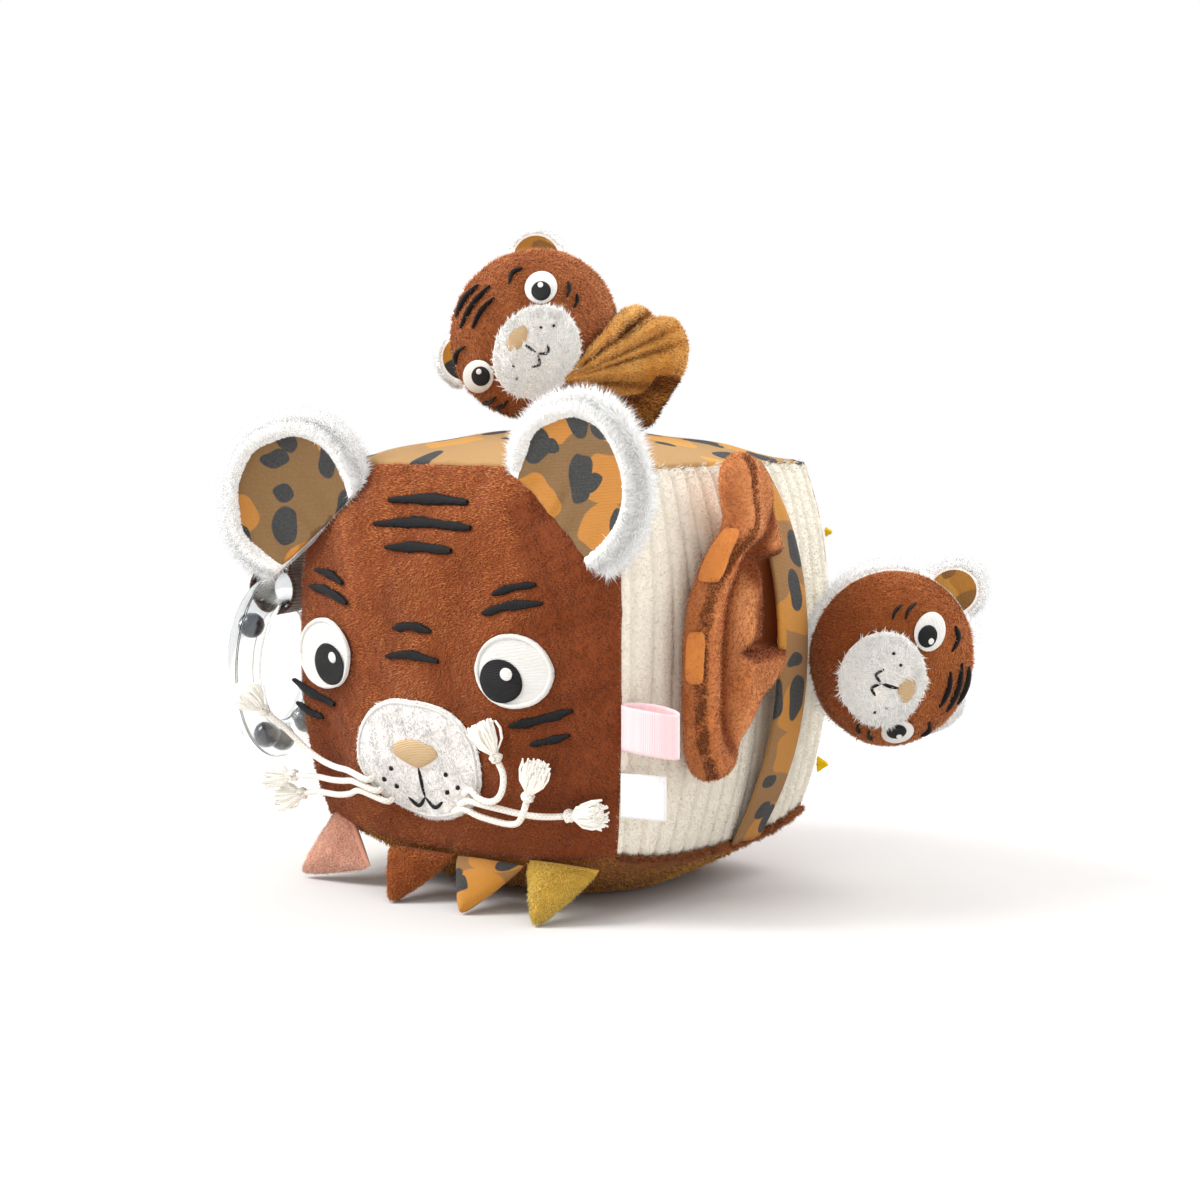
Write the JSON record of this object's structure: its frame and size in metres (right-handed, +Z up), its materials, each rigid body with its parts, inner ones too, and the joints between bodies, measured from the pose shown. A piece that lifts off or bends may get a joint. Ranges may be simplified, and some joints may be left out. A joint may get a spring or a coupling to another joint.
{
  "type": "soft fabric activity block",
  "caption": "Stuffed fabric play block with an animal face, ears, padded spikes, pull cords, ribbon tags, a rattle ring and small stuffed dolls on its side and top.",
  "frame": {"origin": "on the table under the middle of the stuffed block, at the flat middle of its bottom panel", "axes": "+Z up, -Y out of the animal face, +X towards the side with the cloth band and the small doll"},
  "size_m": [0.2837, 0.1997, 0.2789],
  "materials": {
    "filling": "white polyester stuffing",
    "rust_plush": "short rust brown plush",
    "cream_corduroy": "cream plush with wide corduroy ribs",
    "spotted_cloth": "woven cloth with a printed cat pattern in tan, ochre and charcoal",
    "caramel_plush": "short caramel plush",
    "white_fur": "white long pile faux fur",
    "eye_white": "off-white satin stitch",
    "eye_black": "black satin stitch",
    "cord_cotton": "off-white braided cotton cord",
    "pink_cloth": "pink peach brushed cloth",
    "mustard_cloth": "mustard brushed cloth",
    "pink_satin": "pale pink satin ribbon with faint woven stripes",
    "label_cloth": "plain white label cloth",
    "yellow_felt": "bright yellow cloth",
    "orange_cloth": "orange brushed cloth",
    "brown_strap": "dark brown woven strap",
    "clear_plastic": "clear glossy plastic",
    "bead_plastic": "dark blue-grey glossy plastic"
  },
  "bodies": {
    "block": {"filling_core": "filling", "front_panel": "rust_plush", "back_panel": "rust_plush", "left_panel": "cream_corduroy", "right_panel": "cream_corduroy", "top_panel": "spotted_cloth", "bottom_panel": "caramel_plush", "left_eye": "eye_white", "left_pupil": "eye_black", "right_eye": "eye_white", "right_pupil": "eye_black", "muzzle": "white_fur", "whisker_right_upper": "cord_cotton", "tassel_right_upper": "cord_cotton", "whisker_right_middle": "cord_cotton", "tassel_right_middle": "cord_cotton", "whisker_right_lower": "cord_cotton", "tassel_right_lower": "cord_cotton", "whisker_left_upper": "cord_cotton", "tassel_left_upper": "cord_cotton", "whisker_left_middle": "cord_cotton", "tassel_left_middle": "cord_cotton", "whisker_left_lower": "cord_cotton", "tassel_left_lower": "cord_cotton", "upper_corner_tab": "yellow_felt", "lower_corner_tab": "yellow_felt", "ring_strap": "brown_strap", "side_band": "spotted_cloth", "side_doll_body": "rust_plush", "upper_paw_patch": "orange_cloth", "lower_paw_patch": "orange_cloth", "top_doll_body": "caramel_plush"},
    "ring": {"ring_outer_shell": "clear_plastic", "ring_inner_shell": "clear_plastic"},
    "beads": {"bead_1": "bead_plastic", "bead_2": "bead_plastic", "bead_3": "bead_plastic", "bead_4": "bead_plastic", "bead_5": "bead_plastic"},
    "right_ear": {"right_ear_back": "white_fur", "right_ear_lining": "spotted_cloth"},
    "left_ear": {"left_ear_back": "white_fur", "left_ear_lining": "spotted_cloth"},
    "pink_flap": {"pink_spike": "pink_cloth"},
    "rust_flap": {"rust_spike": "rust_plush"},
    "spotted_flap": {"spotted_spike": "spotted_cloth"},
    "mustard_flap": {"mustard_spike": "mustard_cloth"},
    "ribbon": {"ribbon_loop": "pink_satin"},
    "label": {"blank_label": "label_cloth"},
    "side_doll_head": {"side_doll_face": "rust_plush", "side_doll_hood": "white_fur", "side_doll_muzzle": "white_fur", "side_doll_left_ear": "spotted_cloth", "side_doll_right_ear": "spotted_cloth"},
    "top_doll_head": {"top_doll_face": "rust_plush", "top_doll_hood": "white_fur", "top_doll_muzzle": "white_fur", "top_doll_left_ear": "spotted_cloth", "top_doll_right_ear": "spotted_cloth"}
  },
  "joints": [
    {"name": "ring_swing", "type": "hinge", "parent": "block", "child": "ring", "pos_m": [-0.109, -0.061, 0.1207], "axis": [-0.2588, 0.9659, 0], "range_deg": [-4, 45]},
    {"name": "bead_roll", "type": "hinge", "parent": "ring", "child": "beads", "pos_m": [-0.109, -0.061, 0.088], "axis": [0.9659, 0.2588, 0], "continuous": true},
    {"name": "right_ear_fold", "type": "hinge", "parent": "block", "child": "right_ear", "pos_m": [0.0557, -0.078, 0.1575], "axis": [0.7618, -0.0801, -0.6428], "range_deg": [0, 35], "stiffness_Nm_per_rad": 0.1},
    {"name": "left_ear_fold", "type": "hinge", "parent": "block", "child": "left_ear", "pos_m": [-0.0697, -0.0767, 0.1472], "axis": [0.7382, 0.1569, 0.6561], "range_deg": [0, 35], "stiffness_Nm_per_rad": 0.1},
    {"name": "pink_flap_lift", "type": "hinge", "parent": "block", "child": "pink_flap", "pos_m": [-0.056, -0.0711, 0.0223], "axis": [-1, 0, 0], "range_deg": [0, 30], "stiffness_Nm_per_rad": 0.02},
    {"name": "rust_flap_lift", "type": "hinge", "parent": "block", "child": "rust_flap", "pos_m": [-0.02, -0.0724, 0.0192], "axis": [-1, 0, 0], "range_deg": [0, 30], "stiffness_Nm_per_rad": 0.02},
    {"name": "spotted_flap_lift", "type": "hinge", "parent": "block", "child": "spotted_flap", "pos_m": [0.016, -0.0724, 0.0191], "axis": [-1, 0, 0], "range_deg": [0, 30], "stiffness_Nm_per_rad": 0.02},
    {"name": "mustard_flap_lift", "type": "hinge", "parent": "block", "child": "mustard_flap", "pos_m": [0.052, -0.0713, 0.0217], "axis": [-1, 0, 0], "range_deg": [0, 30], "stiffness_Nm_per_rad": 0.02},
    {"name": "ribbon_bend", "type": "hinge", "parent": "block", "child": "ribbon", "pos_m": [0.08345, -0.07795, 0.079], "axis": [0, 0, 1], "range_deg": [-30, 20], "stiffness_Nm_per_rad": 0.002},
    {"name": "label_bend", "type": "hinge", "parent": "block", "child": "label", "pos_m": [0.081, -0.0755, 0.052], "axis": [0, 0, 1], "range_deg": [-30, 30], "stiffness_Nm_per_rad": 0.002},
    {"name": "side_head_turn", "type": "hinge", "parent": "block", "child": "side_doll_head", "pos_m": [0.0952, 0.0253, 0.096], "axis": [-0.6947, -0.7193, 0], "range_deg": [-15, 15], "stiffness_Nm_per_rad": 0.08},
    {"name": "top_head_turn", "type": "hinge", "parent": "block", "child": "top_doll_head", "pos_m": [0.01165, 0.02154, 0.20288], "axis": [0.6545, 0.4755, -0.5878], "range_deg": [-20, 20], "stiffness_Nm_per_rad": 0.08}
  ]
}
